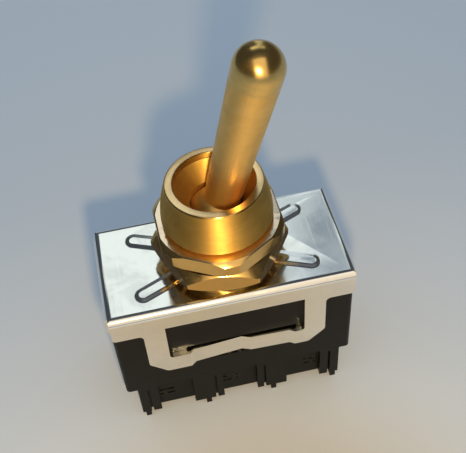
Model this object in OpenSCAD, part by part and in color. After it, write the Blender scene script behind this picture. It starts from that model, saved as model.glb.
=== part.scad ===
// Panel toggle switch with a bat lever, three screw terminals and a steel frame.
// All lengths are in millimetres. The origin is on the axis of the threaded bushing,
// at the level of the fins that the moulded housing stands on. X runs along the plate,
// in the plane that the lever swings in, and Z points up along the bushing.

/* [Frame] */
// Length of the plate over its end lips
plate_l = 34.2; // [33.2:0.1:40]
// Width of the plate over its side flanges
plate_w = 17; // [16:0.1:20]
// Thickness of the steel sheet
sheet_t = 0.8; // [0.6:0.05:1]
// Outside radius of the two long folds
bend_r = 1.1; // [1.05:0.05:2]
// Outside radius of the folds at the ends
lip_bend_r = 1.05; // [1.05:0.05:1.5]
// Depth of the side flanges below the top of the plate
flange_h = 4.1; // [3:0.1:5]
// Depth of the end lips below the top of the plate
lip_h = 3.2; // [2:0.1:5]
// Depth of the straps below the top of the plate
strap_drop = 13.4; // [12:0.1:14.6]
// Height of the bar that joins the legs of a strap
bar_h = 3; // [2:0.1:4]
// Width of each strap leg
leg_w = 3; // [2:0.1:3.6]
// Half of the window between the strap legs
window_half = 9.6; // [8:0.1:10.8]
// How far the middle of the bar is pressed into the housing
clinch_depth = 0.45; // [0.3:0.05:0.6]
// How much deeper the pressed bar lies at the dent near its middle
dent_depth = 0.5; // [0.2:0.05:0.6]
// Length of each stiffening bead that is embossed in the plate
bead_l = 5.4; // [3:0.1:6]
// Distance from the bushing axis to the outer end of a bead
bead_reach = 13.6; // [12:0.1:14]
// Width of a bead
bead_w = 2.25; // [1.6:0.05:3]
// Height of a bead above the plate
bead_h = 0.55; // [0.3:0.05:0.7]
// Angle between a bead and the long axis of the plate
bead_angle = 23; // [18:1:26]

/* [Bushing and nuts] */
// Outside diameter of the bushing thread
thread_d = 12; // [11.6:0.1:14]
// Pitch of the bushing thread
thread_pitch = 1; // [0.75:0.25:1.25]
// Height of the shoulder that seats the bushing on the plate
shoulder_h = 1.5; // [0.8:0.1:2]
// Wall of a hexagon nut from its thread to its flats
nut_wall = 1.8; // [1.4:0.1:3]
// Height of the lower hexagon nut
lower_nut_h = 3; // [2.8:0.1:5]
// Depth that the corners of the lower nut are turned down at each face
lower_nut_chamfer = 1.3; // [0.5:0.1:1.35]
// Height of the upper hexagon nut
upper_nut_h = 2.5; // [2:0.1:4]
// Depth that the corners of the upper nut are turned down at each face
upper_nut_chamfer = 0.7; // [0.4:0.05:0.95]
// Height of the dress nut
dress_nut_h = 5.95; // [5:0.05:8]
// Wall of the dress nut at its foot
dress_foot_wall = 1.3; // [1:0.1:2.5]
// Wall of the dress nut at its rim
dress_rim_wall = 0.5; // [0.4:0.05:0.8]
// Width of the lip that the rim turns in over the bushing
dress_lip_w = 0.75; // [0.4:0.05:1]

/* [Lever] */
// Throw of the lever to each side of upright, in degrees
lever_throw = 15.6; // [12:0.1:17]
// Distance from the pivot to the centre of the rounded tip
lever_l = 23.4; // [18:0.1:32]
// Diameter of the rounded tip
tip_d = 6.36; // [5:0.02:8]
// Diameter of the lever where it leaves the ball
neck_d = 4.5; // [4:0.1:5]
// Diameter of the pivot ball
ball_d = 8; // [7.6:0.1:8.8]
// Diameter of the pivot pin
pin_d = 1.6; // [1.2:0.1:2]
// Depth of the pivot below the top of the bushing
pivot_depth = 5.45; // [5:0.05:6]
// Diameter of the tail that reaches down into the housing
tail_d = 4; // [3.6:0.1:4.2]
// Diameter of the spring-loaded plunger in the tail
plunger_d = 2.6; // [2.2:0.1:2.8]
// Length of the plunger that shows below the tail
plunger_show = 2.1; // [1.6:0.1:2.6]
// Length of the plunger that the tail guides
plunger_guide = 4; // [3:0.1:5]
// Wire diameter of the plunger spring
wire_d = 0.4; // [0.3:0.05:0.5]

/* [Contacts] */
// Distance between neighbouring terminals
terminal_pitch = 9.7; // [9.2:0.1:10.4]
// Tilt of the rocker to each side, in degrees
rocker_throw = 8; // [6:0.5:9]
// Thickness of the rocker arms
rocker_t = 1.1; // [0.8:0.1:1.4]
// Diameter of the contact buttons
button_d = 3.8; // [3:0.1:4.2]
// Height of each contact button
button_h = 0.8; // [0.6:0.1:1.2]
// Thickness of the terminal strips
strip_t = 0.7; // [0.5:0.05:1]
// Thread diameter of the terminal screws
screw_d = 3.4; // [3:0.1:3.6]
// Diameter of the screw heads
screw_head_d = 5.8; // [5.4:0.1:6.4]
// Height of the screw heads
screw_head_h = 1.6; // [1.2:0.1:2]

/* [Housing] */
// Depth of the upper part of the housing below the top of the plate
step_drop = 18.2; // [15.6:0.1:20]
// Depth of the switch chamber's floor below the top of the plate
chamber_drop = 14.6; // [14:0.1:15]
// Thickness of the chamber's floor
floor_t = 3.4; // [2.3:0.1:4]
// Wall beside the chamber
side_wall = 2.8; // [2:0.05:3]
// Wall at the outer end of the lower part
end_wall = 2.3; // [1.6:0.1:2.8]
// How far the bays between the posts are set back
bay_recess = 1; // [0.6:0.1:1.4]
// Depth of the screw heads above the rim of the bays
head_depth = 3.7; // [0.4:0.1:4]
// Length of the posts below the rim of the bays
post_drop = 0; // [0:0.1:2]
// Height of the fins below the posts
fin_h = 1.1; // [0.6:0.1:2]
// Thickness of a fin
fin_t = 0.8; // [0.6:0.1:1.4]
// Thickness of the insulating sheet under the plate
insulator_t = 0.6; // [0.3:0.1:1]

/* [Hidden] */
$fn = 64;

// Clearances
seat_gap = 0.05;    // between still pieces that rest face to face beside a fold
press_gap = 0.02;   // round a pressed or riveted shank, on the radius
run_gap = 0.05;     // round a turning or sliding shank, on the radius
swing_gap = 0.25;   // between parts that swing past each other
contact_gap = 0.12; // between a closed pair of contact buttons
cut = 1;            // how far a cut runs past the face that it opens

// Finishes
steel = [0.78, 0.80, 0.82];
brass = [0.80, 0.62, 0.28];
bright_brass = [0.86, 0.66, 0.30];
bakelite = [0.07, 0.07, 0.08];
fibre = [0.45, 0.28, 0.16];
silver = [0.86, 0.86, 0.84];
spring_steel = [0.55, 0.56, 0.58];

// Stack on the bushing, measured up from the top of the plate
lower_nut_z = shoulder_h;
nut_space = 0.5;
upper_nut_z = lower_nut_z + lower_nut_h + nut_space;
dress_nut_z = upper_nut_z + upper_nut_h + nut_space * 0.6;
dress_top_z = dress_nut_z + dress_nut_h;
dress_lip_t = 0.85;
bushing_top_z = dress_top_z - dress_lip_t - seat_gap;
pivot_z = bushing_top_z - pivot_depth;

// Thread and nuts
thread_r = thread_d / 2;
thread_depth = 0.6 * thread_pitch;
nut_bore_r = thread_r + seat_gap;
nut_across_flats = thread_d + 2 * nut_wall;
dress_rim_r = thread_r + dress_rim_wall;

// Levels under the plate, as depths below its top
insulator_bottom = sheet_t + insulator_t;
pocket_top = chamber_drop + floor_t;
washer_t = 0.6;
bay_bottom = pocket_top + strip_t + washer_t + screw_head_h + head_depth;
post_bottom = bay_bottom + post_drop;
plate_top = post_bottom + fin_h;

// Housing plan
housing_half_w = plate_w / 2 - sheet_t - seat_gap;
housing_half_l = plate_l / 2 - 0.3;
neck_half_l = plate_l / 2 - sheet_t - seat_gap;
chamber_half_w = housing_half_w - side_wall;
bay_half_w = housing_half_w - bay_recess;
bay_wall = 1.15;
pocket_half_w = bay_half_w - bay_wall;
pocket_half_l = screw_head_d / 2 + 0.3;
barrier_inner = pocket_half_l;
barrier_outer = terminal_pitch - pocket_half_l;
lower_half_l = terminal_pitch + pocket_half_l + end_wall;
post_overlap = 0.6;
groove_w = 0.35;
groove_depth = 0.6;
TERMINAL_X = [-terminal_pitch, 0, terminal_pitch];

// Terminals and contacts, as depths below the top of the plate
strip_half_l = pocket_half_l - 0.6;
web_outer_y = min(chamber_half_w, pocket_half_w) - 0.1;
strip_end_y = -web_outer_y + 1;
contact_floor = chamber_drop - strip_t;
fixed_button_t = 0.6;
fixed_top = contact_floor - fixed_button_t;
rivet_r = 0.8;
dome_r = 4;

// Rocker, in its own upright position about the fulcrum
trunnion_r = 0.6;
trunnion_end_gap = 0.9;
trunnion_half = chamber_half_w - trunnion_end_gap;
ear_t = 0.7;
ear_outer = trunnion_half - 0.1;
rocker_side_gap = 0.8;
rocker_half_w = ear_outer - ear_t - rocker_side_gap;
rocker_below = 0.5;
button_drop = rocker_below + button_h;
rocker_half_l = terminal_pitch + button_d / 2 + 0.1;
saddle_floor = 1.05;
fulcrum_z = -fixed_top + contact_gap + terminal_pitch * sin(rocker_throw)
    + dome_r - (dome_r - button_drop) * cos(rocker_throw);

// Plunger nose: the lever carries it round the pivot and the rocker turns the other way,
// so its path over the rocker is close to an arc, and the saddle is cut along that arc
nose_r = plunger_d / 2 - 0.1;
nose_reach = pivot_z - fulcrum_z - saddle_floor - swing_gap - nose_r;
nose_side = nose_reach * sin(lever_throw);
nose_rise = pivot_z - fulcrum_z - nose_reach * cos(lever_throw);
path_x = nose_side * cos(rocker_throw) - nose_rise * sin(rocker_throw);
path_z = nose_side * sin(rocker_throw) + nose_rise * cos(rocker_throw)
    - (pivot_z - fulcrum_z - nose_reach);
path_r = (path_x * path_x + path_z * path_z) / (2 * path_z);
saddle_r = path_r + nose_r + swing_gap;
saddle_half_l = path_x + nose_r + 0.3;
saddle_h = saddle_floor + saddle_r - sqrt(saddle_r * saddle_r - saddle_half_l * saddle_half_l);

// Lever, measured along its own axis from the pivot
tail_l = nose_reach - plunger_show;
spring_wall = 0.6;
spring_seat = ball_d / 2 + spring_wall;
plunger_bore_r = plunger_d / 2 + run_gap;
plunger_top = tail_l - plunger_guide;
waist_h = 3;
waist_r = lever_r(waist_h) / cos(lever_throw) + waist_h * tan(lever_throw) + swing_gap / 2;
seat_r = ball_d / 2 + run_gap;

// Bore of the bushing below the pivot and the spigot round it
bushing_bottom = insulator_bottom;
tail_clear_r = tail_d / 2 / cos(lever_throw) + swing_gap;
bore_foot_r = tail_clear_r + (pivot_z + bushing_bottom) * tan(lever_throw);
spigot_wall = 0.65;
stake_lip = 0.35;
shoulder_ledge = 1.4;
spigot_r = bore_foot_r + spigot_wall;
stake_r = spigot_r + stake_lip;
shoulder_r = max(spigot_r, thread_r) + shoulder_ledge;

// Radius of the lever at a distance s above the pivot
function lever_r(s) = neck_d / 2 + (tip_d - neck_d) / 2 * s / lever_l;

// Points of an arc that rounds the corner b between the neighbours a and c
function unit(v) = v / norm(v);
function corner_arc(a, b, c, r, steps = 4) =
    let (u = unit(a - b), v = unit(c - b))
    let (half = acos(u * v) / 2, centre = b + unit(u + v) * r / sin(half))
    let (start = b + u * r / tan(half) - centre, stop = b + v * r / tan(half) - centre)
    let (turn = start.x * stop.y - start.y * stop.x > 0 ? 1 : -1)
    [for (i = [0 : steps]) centre + rotated(start, turn * (180 - 2 * half) * i / steps)];
function rotated(v, angle) =
    [v.x * cos(angle) - v.y * sin(angle), v.x * sin(angle) + v.y * cos(angle)];

// Outline whose corners are given as [x, y, radius]
function rounded(corners) =
    let (n = len(corners))
    [for (i = [0 : n - 1])
        let (a = corners[(i + n - 1) % n], b = corners[i], c = corners[(i + 1) % n])
        each b.z > 0 ? corner_arc([a.x, a.y], [b.x, b.y], [c.x, c.y], b.z) : [[b.x, b.y]]];
function mirrored(corners) =
    concat(corners, [for (i = [len(corners) - 1 : -1 : 0]) [-corners[i].x, corners[i].y, corners[i].z]]);

module on_plate() {
    translate([0, 0, plate_top]) children();
}

// Placed in the lever's own frame, with the pivot at the origin and the tip along +Z
module on_lever() {
    on_plate() translate([0, 0, pivot_z]) rotate([0, lever_throw, 0]) children();
}

// Placed in the rocker's own frame, with the fulcrum at the origin
module on_rocker() {
    on_plate() translate([0, 0, fulcrum_z]) rotate([0, -rocker_throw, 0]) children();
}

// Slab with rounded upright edges, centred on the axis between the levels z0 and z1
module slab(half_l, half_w, z0, z1, r = 0) {
    translate([0, 0, z0]) linear_extrude(z1 - z0) {
        square([2 * (half_l - r), 2 * half_w], center = true);
        square([2 * half_l, 2 * (half_w - r)], center = true);
        if (r > 0)
            for (x = [-1, 1], y = [-1, 1])
                translate([x * (half_l - r), y * (half_w - r)]) circle(r);
    }
}

// Box between two opposite corners
module block(low, high) {
    translate(low) cube(high - low);
}

// Cylinder along Y, centred on the plane y = 0
module cross_pin(r, half_l) {
    rotate([90, 0, 0]) cylinder(r = r, h = 2 * half_l, center = true);
}

// Section of a sheet folded down on both sides, w wide and h deep, with its top at 0
module folded_section(w, h, r) {
    difference() {
        round_topped(w, h, r);
        translate([0, -sheet_t]) round_topped(w - 2 * sheet_t, h, r - sheet_t);
    }
}

module round_topped(w, h, r) {
    translate([-w / 2, -h]) square([w, h - r]);
    translate([-w / 2 + r, -h]) square([w - 2 * r, h]);
    for (side = [-1, 1]) translate([side * (w / 2 - r), -r]) circle(r);
}

// ---- Frame ----

flange_half_l = plate_l / 2 - 0.4;
leg_outer = window_half + leg_w;
leg_corner = [2.4, 2.3];
clinch_end = window_half - 2.1;
clinch_slope = 0.7;
clinch_ease = 0.15;
clinch_x = 0.7;
clinch_rise = 0.2;
dent_half = 1.2;
edge_r = 0.5;
window_top = flange_h - 0.2;

// Side of the folded blank seen from the front: flange, two legs and the bar between them
module side_outline() {
    difference() {
        polygon(rounded(mirrored([
            [flange_half_l, cut, 0],
            [flange_half_l, -flange_h, edge_r],
            [leg_outer, -flange_h, 0.7],
            [leg_outer, -strap_drop + leg_corner.y, 0.8],
            [leg_outer - leg_corner.x, -strap_drop, 0.8]])));
        polygon(rounded(mirrored([
            [window_half, -window_top, edge_r],
            [window_half, -strap_drop + bar_h, edge_r]])));
        translate([clinch_x - clinch_end, -strap_drop - cut])
            square([2 * clinch_end, bar_h + 2 * cut]);
    }
}

// Plan of one face of the pressed-in stretch of the bar: it leans in towards the dent on one
// side and runs nearly straight on the other
function clinch_line(inset) = [
    [-clinch_end, -inset],
    [-clinch_end + clinch_slope, -clinch_depth - inset],
    [0, -clinch_depth - dent_depth - inset],
    [dent_half, -clinch_depth - inset],
    [clinch_end - clinch_slope, -clinch_depth + clinch_ease - inset],
    [clinch_end, -inset]];

module clinched_bar() {
    outer = clinch_line(0);
    inner = clinch_line(sheet_t);
    low = -strap_drop;
    high = -strap_drop + bar_h;
    shoulder = clinch_end - clinch_slope;
    translate([clinch_x, 0, 0]) intersection() {
        translate([0, plate_w / 2, low]) linear_extrude(bar_h + clinch_rise)
            polygon(concat(outer, [for (i = [len(inner) - 1 : -1 : 0]) inner[i]]));
        rotate([90, 0, 0]) linear_extrude(2 * plate_w, center = true)
            polygon([
                [-clinch_end, low], [-shoulder, low + clinch_rise],
                [shoulder, low + clinch_rise], [clinch_end, low],
                [clinch_end, high], [shoulder, high + clinch_rise],
                [-shoulder, high + clinch_rise], [-clinch_end, high]]);
    }
}

// Cut that rounds the outer edge of the side flange over the window
module window_edge_cut() {
    difference() {
        block([-window_half, plate_w / 2 - sheet_t, -window_top - cut],
            [window_half, plate_w / 2 + cut, -window_top + sheet_t]);
        translate([0, plate_w / 2 - sheet_t, -window_top + sheet_t]) rotate([0, 90, 0])
            cylinder(r = sheet_t, h = 2 * window_half + cut, center = true);
        block([-window_half - cut, 0, -window_top - 2 * cut],
            [window_half + cut, plate_w / 2 - sheet_t, -window_top + sheet_t]);
    }
}

// Raised bead with a round end, hollow on its underside as the punch leaves it
module bead() {
    crown_r = (bead_w * bead_w / 4 + bead_h * bead_h) / (2 * bead_h);
    far = bead_reach - bead_w / 2;
    near = bead_reach - bead_l;
    intersection() {
        difference() {
            translate([0, 0, bead_h - crown_r]) {
                translate([near, 0, 0]) rotate([0, 90, 0]) cylinder(r = crown_r, h = far - near);
                translate([far, 0, 0]) sphere(crown_r);
            }
            translate([0, 0, bead_h - crown_r]) {
                hollow_r = crown_r - sheet_t;
                translate([near - cut, 0, 0]) rotate([0, 90, 0])
                    cylinder(r = hollow_r, h = far - near + cut);
                translate([far, 0, 0]) sphere(hollow_r);
            }
        }
        translate([near - cut, -plate_w / 2, -sheet_t / 2]) cube([bead_l + 3, plate_w, 2 * cut]);
    }
}

module frame() {
    color(steel) on_plate() {
        difference() {
            union() {
                intersection() {
                    rotate([90, 0, 90]) linear_extrude(plate_l, center = true)
                        folded_section(plate_w, strap_drop + cut, bend_r);
                    rotate([90, 0, 0]) linear_extrude(2 * plate_w, center = true) side_outline();
                }
                rotate([90, 0, 0]) linear_extrude(plate_w - 2 * bend_r, center = true)
                    folded_section(plate_l, lip_h, lip_bend_r);
                clinched_bar();
                mirror([0, 1, 0]) clinched_bar();
                for (angle = [bead_angle, -bead_angle, 180 - bead_angle, 180 + bead_angle])
                    rotate(angle) bead();
            }
            translate([0, 0, -sheet_t - cut])
                cylinder(r = spigot_r + press_gap, h = sheet_t + 2 * cut);
            window_edge_cut();
            mirror([0, 1, 0]) window_edge_cut();
        }
    }
}

// Fibre sheet between the plate and the housing, cut out round the staked bushing
module insulator() {
    color(fibre) on_plate() difference() {
        slab(plate_l / 2 - lip_bend_r - seat_gap, plate_w / 2 - bend_r - seat_gap,
            -insulator_bottom, -sheet_t, 0.7);
        translate([0, 0, -insulator_bottom - cut])
            cylinder(r = stake_r + seat_gap, h = insulator_t + 2 * cut);
    }
}

// ---- Housing ----

POST_SPANS = [
    [barrier_inner - post_overlap, barrier_outer + post_overlap],
    [terminal_pitch + pocket_half_l - post_overlap, lower_half_l]];
mid_fin_x = (barrier_inner + barrier_outer) / 2 + 0.2;
end_fin_x = lower_half_l - 0.8;
recess_margin = 0.4;

// Posts stand proud of the bays on both long sides and carry the outer edges of the fins
module posts() {
    for (mx = [0, 1], my = [0, 1], span = POST_SPANS)
        mirror([mx, 0, 0]) mirror([0, my, 0])
            block([span[0], bay_half_w - cut, -post_bottom], [span[1], housing_half_w, -step_drop]);
}

// Grooves that part each post into two ribs
module post_grooves() {
    mid_groove = barrier_inner + 0.55;
    end_groove = lower_half_l - 1.5;
    for (mx = [0, 1], my = [0, 1]) mirror([mx, 0, 0]) mirror([0, my, 0]) {
        for (x = [mid_groove, end_groove])
            block([x - groove_w / 2, housing_half_w - groove_depth, -post_bottom - cut],
                [x + groove_w / 2, housing_half_w + cut, -step_drop - 0.5]);
    }
}

// Walls that part the terminals from each other, and the two end walls
module barriers() {
    for (side = [0, 1]) mirror([side, 0, 0]) {
        block([barrier_inner, -bay_half_w, -post_bottom], [barrier_outer, bay_half_w, -pocket_top]);
        block([terminal_pitch + pocket_half_l, -bay_half_w, -post_bottom],
            [lower_half_l, bay_half_w, -pocket_top]);
        for (x = [mid_fin_x, end_fin_x])
            block([x - fin_t / 2, -housing_half_w, -plate_top],
                [x + fin_t / 2, housing_half_w, -post_bottom + cut]);
    }
}

// Pairs of shallow slots beside the posts, on both long sides
module bay_slots() {
    slot_l = 2.2;
    slot_h = 0.4;
    slot_depth = 0.35;
    reach = pocket_half_l - post_overlap - 0.15;
    for (side = [0, 1], rise = [2.3, 3.3],
            low = [-terminal_pitch - reach, -reach, terminal_pitch + reach - slot_l])
        mirror([0, side, 0])
            block([low, bay_half_w - slot_depth, -bay_bottom + rise],
                [low + slot_l, bay_half_w + cut, -bay_bottom + rise + slot_h]);
}

module terminal_pockets() {
    for (x = TERMINAL_X) {
        block([x - pocket_half_l, -pocket_half_w, -post_bottom - cut],
            [x + pocket_half_l, pocket_half_w, -pocket_top]);
        block([x - strip_half_l - press_gap, web_outer_y - strip_t - press_gap, -pocket_top - cut],
            [x + strip_half_l + press_gap, web_outer_y + press_gap, -chamber_drop + cut]);
        translate([x, 0, -pocket_top - cut])
            cylinder(r = screw_d / 2 + 0.15, h = cut + floor_t - 0.6);
    }
}

// Hollow in each long side that the middle of the strap is pressed into
module clinch_recesses() {
    end = clinch_end + recess_margin;
    deep = plate_w / 2 - clinch_depth - dent_depth - sheet_t - seat_gap;
    for (side = [0, 1]) mirror([0, side, 0]) translate([clinch_x, 0, 0])
        block([-end, deep, -strap_drop - recess_margin],
            [end, housing_half_w + cut, -strap_drop + bar_h + clinch_rise + recess_margin]);
}

module housing() {
    ledge_drop = 0.9;
    color(bakelite) on_plate() difference() {
        union() {
            slab(neck_half_l, housing_half_w, -step_drop, -insulator_bottom, 0.6);
            slab(housing_half_l, housing_half_w, -step_drop, -lip_h - seat_gap, 0.6);
            slab(lower_half_l, bay_half_w + bay_recess / 2, -step_drop - ledge_drop, -step_drop + cut, 0.5);
            slab(lower_half_l, bay_half_w, -bay_bottom, -step_drop + cut, 0.5);
            posts();
            barriers();
        }
        slab(rocker_half_l + 1.8, chamber_half_w, -chamber_drop, -insulator_bottom + cut, 0.8);
        terminal_pockets();
        post_grooves();
        bay_slots();
        clinch_recesses();
    }
}

// ---- Bushing and nuts ----

// Outline of one flank pair after another up the thread, from z0 to z1
function thread_line(z0, z1) =
    let (turns = floor((z1 - z0) / thread_pitch), start = z1 - turns * thread_pitch)
    [for (i = [0 : turns - 1])
        let (z = start + i * thread_pitch)
        each [
            [thread_r - thread_depth, z + 0.05 * thread_pitch],
            [thread_r, z + 0.4 * thread_pitch],
            [thread_r, z + 0.6 * thread_pitch],
            [thread_r - thread_depth, z + 0.95 * thread_pitch]]];

module bushing() {
    foot = -bushing_bottom;
    color(bright_brass) on_plate() difference() {
        rotate_extrude() polygon(concat(
            [[0, foot], [stake_r - 0.15, foot], [stake_r, foot + 0.15], [stake_r, -sheet_t],
                [spigot_r, -sheet_t], [spigot_r, 0], [shoulder_r - 0.15, 0], [shoulder_r, 0.15],
                [shoulder_r, shoulder_h - 0.15], [shoulder_r - 0.15, shoulder_h],
                [thread_r - thread_depth, shoulder_h]],
            thread_line(shoulder_h, bushing_top_z),
            [[0, bushing_top_z]]));
        translate([0, 0, pivot_z]) {
            sphere(seat_r);
            cylinder(r = waist_r, h = waist_h + cut);
            translate([0, 0, -pivot_z + foot - cut]) cylinder(r = seat_r, h = pivot_z - foot + cut);
            cross_pin(pin_d / 2 + run_gap, thread_r + cut);
        }
        translate([0, 0, foot])
            cylinder(r1 = bore_foot_r, r2 = tail_clear_r, h = pivot_z - foot);
        translate([0, 0, pivot_z + waist_h])
            cylinder(r1 = waist_r, r2 = dress_rim_inner(), h = pivot_depth - waist_h);
        translate([0, 0, foot - cut]) cylinder(r = bore_foot_r, h = cut + 0.01);
    }
}

function dress_rim_inner() = thread_r - dress_lip_w;

// Hexagon nut whose corners are turned down at both faces, which leaves arched flats
module hexagon_nut(h, chamfer) {
    flat_r = nut_across_flats / 2;
    corner_r = flat_r / cos(30);
    difference() {
        intersection() {
            cylinder(r = corner_r, h = h, $fn = 6);
            rotate_extrude() polygon([
                [0, 0], [flat_r - 0.15, 0], [corner_r, chamfer],
                [corner_r, h - chamfer], [flat_r - 0.15, h], [0, h]]);
        }
        translate([0, 0, -cut]) cylinder(r = nut_bore_r, h = h + 2 * cut);
    }
}

module lower_nut() {
    color(brass) on_plate() translate([0, 0, lower_nut_z]) hexagon_nut(lower_nut_h, lower_nut_chamfer);
}

module upper_nut() {
    turned = -21;
    color(brass) on_plate() translate([0, 0, upper_nut_z]) rotate(turned)
        hexagon_nut(upper_nut_h, upper_nut_chamfer);
}

// Round nut that tapers in a soft curve to a rim turned in over the end of the bushing
module dress_nut() {
    foot_r = thread_r + dress_foot_wall;
    rim_start = dress_nut_h - 0.5;
    steps = 10;
    side = [for (i = [0 : steps])
        let (share = i / steps)
        [foot_r - (foot_r - dress_rim_r) * pow(share, 1.5), 0.35 + (rim_start - 0.35) * share]];
    color(bright_brass) on_plate() translate([0, 0, dress_nut_z]) difference() {
        rotate_extrude() polygon(concat(
            [[0, 0], [foot_r - 0.35, 0], [foot_r - 0.1, 0.1]],
            side,
            [[dress_rim_r - 0.12, rim_start + 0.3], [dress_rim_r - 0.38, dress_nut_h],
                [0, dress_nut_h]]));
        translate([0, 0, -cut])
            cylinder(r = nut_bore_r, h = dress_nut_h - dress_lip_t + cut);
        cylinder(r = dress_rim_inner(), h = dress_nut_h + cut);
        translate([0, 0, dress_nut_h - 0.3])
            cylinder(r1 = dress_rim_inner(), r2 = dress_rim_inner() + 0.3, h = 0.3);
        translate([0, 0, dress_nut_h - 0.01]) cylinder(r = dress_rim_inner() + 0.3, h = cut);
    }
}

// ---- Lever ----

module lever() {
    tip_r = tip_d / 2;
    color(bright_brass) on_lever() difference() {
        union() {
            sphere(ball_d / 2);
            cylinder(r1 = neck_d / 2, r2 = tip_r, h = lever_l);
            translate([0, 0, lever_l]) sphere(tip_r);
            translate([0, 0, -tail_l]) cylinder(d = tail_d, h = tail_l);
        }
        cross_pin(pin_d / 2 + press_gap, ball_d);
        translate([0, 0, -tail_l - cut])
            cylinder(r = plunger_bore_r, h = tail_l + cut - spring_seat);
    }
}

// Steel pin across the ball, whose ends turn in the bushing
module lever_pin() {
    color(steel) on_lever() cross_pin(pin_d / 2, thread_r - thread_depth - 0.1);
}

module plunger() {
    color(silver) on_lever() {
        translate([0, 0, -nose_reach]) {
            sphere(nose_r);
            cylinder(r1 = nose_r, r2 = plunger_d / 2, h = 0.5);
        }
        translate([0, 0, -nose_reach + 0.5]) cylinder(d = plunger_d, h = nose_reach - 0.5 - plunger_top);
    }
}

// Wire coil between the levels z0 and z1 along the Z axis
module coil(mean_r, wire_r, z0, z1, turns) {
    per_turn = 12;
    sides = 8;
    rings = turns * per_turn;
    climb = (z1 - z0 - 2 * wire_r) / rings;
    points = [for (i = [0 : rings], j = [0 : sides - 1])
        let (a = 360 * i / per_turn, b = 360 * j / sides, r = mean_r + wire_r * cos(b))
        [r * cos(a), r * sin(a), z0 + wire_r + climb * i + wire_r * sin(b)]];
    walls = [for (i = [0 : rings - 1], j = [0 : sides - 1])
        let (k = (j + 1) % sides, p = i * sides, q = p + sides)
        each [[p + j, p + k, q + k], [p + j, q + k, q + j]]];
    caps = [[for (j = [sides - 1 : -1 : 0]) j], [for (j = [0 : sides - 1]) rings * sides + j]];
    polyhedron(points, concat(walls, caps));
}

module plunger_spring() {
    end_gap = 0.05;
    mean_r = plunger_bore_r - wire_d / 2 - 0.15;
    color(spring_steel) on_lever()
        coil(mean_r, wire_d / 2, -plunger_top + end_gap, -spring_seat - end_gap, 6);
}

// ---- Rocker and contacts ----

module contact_rocker() {
    color(brass) on_rocker() difference() {
        union() {
            block([-rocker_half_l, -rocker_half_w, -rocker_below],
                [rocker_half_l, rocker_half_w, rocker_t - rocker_below]);
            block([-saddle_half_l - 0.8, -rocker_half_w, -rocker_below],
                [saddle_half_l + 0.8, rocker_half_w, saddle_h]);
            cross_pin(trunnion_r + 0.35, rocker_half_w);
            cross_pin(trunnion_r, trunnion_half);
        }
        translate([0, 0, saddle_floor + saddle_r]) cross_pin(saddle_r, rocker_half_w + cut);
        for (side = [-1, 1]) translate([side * terminal_pitch, 0, -cut])
            cylinder(r = rivet_r + press_gap, h = rocker_t + 2 * cut);
    }
}

// Domed button under the rocker arm with its shank through the arm
module rocker_contact(side) {
    color(silver) on_rocker() translate([side * terminal_pitch, 0, 0]) {
        intersection() {
            translate([0, 0, -button_drop]) cylinder(d = button_d, h = button_h);
            translate([0, 0, -button_drop + dome_r]) sphere(dome_r);
        }
        translate([0, 0, -rocker_below - 0.1]) cylinder(r = rivet_r, h = rocker_t + 0.1);
    }
}

module left_rocker_contact() {
    rocker_contact(-1);
}

module right_rocker_contact() {
    rocker_contact(1);
}

// Strip folded round the chamber's floor: a leg above it, a web through it and a leg below
module terminal(x, upper_hole_r) {
    color(brass) on_plate() translate([x, 0, 0]) difference() {
        union() {
            block([-strip_half_l, strip_end_y, -chamber_drop],
                [strip_half_l, web_outer_y, -contact_floor]);
            block([-strip_half_l, web_outer_y - strip_t, -pocket_top - strip_t],
                [strip_half_l, web_outer_y, -contact_floor]);
            block([-strip_half_l, strip_end_y, -pocket_top - strip_t],
                [strip_half_l, web_outer_y, -pocket_top]);
        }
        translate([0, 0, -chamber_drop - floor_t / 2]) cylinder(r = upper_hole_r, h = floor_t);
        translate([0, 0, -pocket_top - strip_t - cut])
            cylinder(r = screw_d / 2 + press_gap, h = strip_t + cut + floor_t / 2);
    }
}

module common_terminal() {
    terminal(0, rivet_r + press_gap);
}

module left_terminal() {
    terminal(-terminal_pitch, rivet_r + press_gap);
}

module right_terminal() {
    terminal(terminal_pitch, rivet_r + press_gap);
}

// Bracket with two ears that carry the trunnions of the rocker
module fulcrum() {
    base_z = -contact_floor;
    base_half_l = strip_half_l;
    ear_half_l = trunnion_r + 1;
    ear_top = fulcrum_z + trunnion_r + 0.8;
    color(brass) on_plate() difference() {
        union() {
            block([-base_half_l, -ear_outer, base_z], [base_half_l, ear_outer, base_z + ear_t]);
            for (side = [0, 1]) mirror([0, side, 0])
                block([-ear_half_l, ear_outer - ear_t, base_z], [ear_half_l, ear_outer, ear_top]);
        }
        translate([0, 0, fulcrum_z]) cross_pin(trunnion_r + run_gap, plate_w);
        translate([0, 0, base_z - cut]) cylinder(r = rivet_r + press_gap, h = ear_t + 2 * cut);
    }
}

module fulcrum_rivet() {
    head_z = -contact_floor + ear_t;
    color(brass) on_plate() {
        translate([0, 0, -chamber_drop]) cylinder(r = rivet_r, h = head_z + chamber_drop);
        translate([0, 0, head_z]) cylinder(r = 1.5, h = 0.4);
    }
}

module fixed_contact(x) {
    color(silver) on_plate() translate([x, 0, 0]) {
        translate([0, 0, -chamber_drop]) cylinder(r = rivet_r, h = strip_t);
        translate([0, 0, -contact_floor]) cylinder(d = button_d, h = fixed_button_t);
    }
}

module left_fixed_contact() {
    fixed_contact(-terminal_pitch);
}

module right_fixed_contact() {
    fixed_contact(terminal_pitch);
}

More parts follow.
